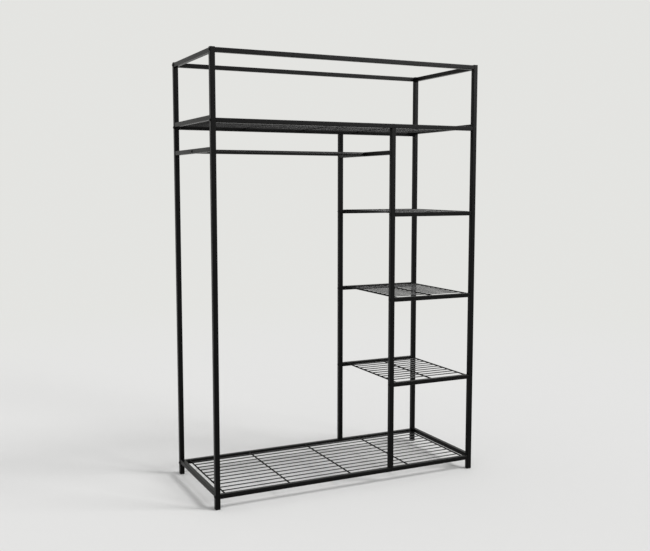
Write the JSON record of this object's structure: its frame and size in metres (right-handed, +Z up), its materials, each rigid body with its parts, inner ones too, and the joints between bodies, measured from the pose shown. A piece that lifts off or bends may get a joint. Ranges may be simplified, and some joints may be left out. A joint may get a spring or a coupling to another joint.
{
  "type": "open wardrobe rack",
  "caption": "Open wardrobe of black square steel tube, with a hanging rod, a bay of small wire shelves, and wire shelves along its top and bottom.",
  "frame": {"origin": "on the floor, under the middle of the rack", "axes": "+X along the width, towards the bay of small shelves; the open front faces -Y; +Z is up"},
  "size_m": [1.2066, 0.5, 1.776],
  "materials": {
    "powder_coat": "semi-matt black powder coat on square and round steel tube, with a faint orange-peel texture",
    "coated_wire": "black powder coat on welded round steel wire",
    "bolt_steel": "black oxide on steel button head bolts",
    "black_plastic": "matt black moulded plastic plugs"
  },
  "bodies": {
    "root": {"front_left_post": "powder_coat", "rear_left_post": "powder_coat", "front_right_post": "powder_coat", "rear_right_post": "powder_coat", "front_middle_post": "powder_coat", "rear_middle_post": "powder_coat", "bottom_shelf_front_rail": "powder_coat", "bottom_shelf_rear_rail": "powder_coat", "top_shelf_front_rail": "powder_coat", "top_shelf_rear_rail": "powder_coat", "top_front_rail": "powder_coat", "top_rear_rail": "powder_coat", "low_shelf_front_rail": "powder_coat", "low_shelf_rear_rail": "powder_coat", "middle_shelf_front_rail": "powder_coat", "middle_shelf_rear_rail": "powder_coat", "high_shelf_front_rail": "powder_coat", "high_shelf_rear_rail": "powder_coat", "bottom_shelf_left_rail": "powder_coat", "bottom_shelf_right_rail": "powder_coat", "top_shelf_left_rail": "powder_coat", "top_shelf_right_rail": "powder_coat", "top_left_rail": "powder_coat", "top_right_rail": "powder_coat", "left_hanging_crossbar": "powder_coat", "middle_hanging_crossbar": "powder_coat", "hanging_rod": "powder_coat", "bottom_shelf_wires": "coated_wire", "top_shelf_wires": "coated_wire", "low_shelf_wires": "coated_wire", "middle_shelf_wires": "coated_wire", "high_shelf_wires": "coated_wire", "bottom_shelf_front_left_bolt": "bolt_steel", "bottom_shelf_rear_left_bolt": "bolt_steel", "bottom_shelf_front_right_bolt": "bolt_steel", "bottom_shelf_rear_right_bolt": "bolt_steel", "top_shelf_front_left_bolt": "bolt_steel", "top_shelf_rear_left_bolt": "bolt_steel", "top_shelf_front_right_bolt": "bolt_steel", "top_shelf_rear_right_bolt": "bolt_steel", "top_front_left_bolt": "bolt_steel", "top_rear_left_bolt": "bolt_steel", "top_front_right_bolt": "bolt_steel", "top_rear_right_bolt": "bolt_steel", "left_rod_bolt": "bolt_steel", "right_rod_bolt": "bolt_steel", "lower_front_middle_post_bolt": "bolt_steel", "lower_rear_middle_post_bolt": "bolt_steel", "upper_front_middle_post_bolt": "bolt_steel", "upper_rear_middle_post_bolt": "bolt_steel", "front_left_foot": "black_plastic", "rear_left_foot": "black_plastic", "front_right_foot": "black_plastic", "rear_right_foot": "black_plastic", "front_left_cap": "black_plastic", "rear_left_cap": "black_plastic", "front_right_cap": "black_plastic", "rear_right_cap": "black_plastic"}
  },
  "joints": []
}
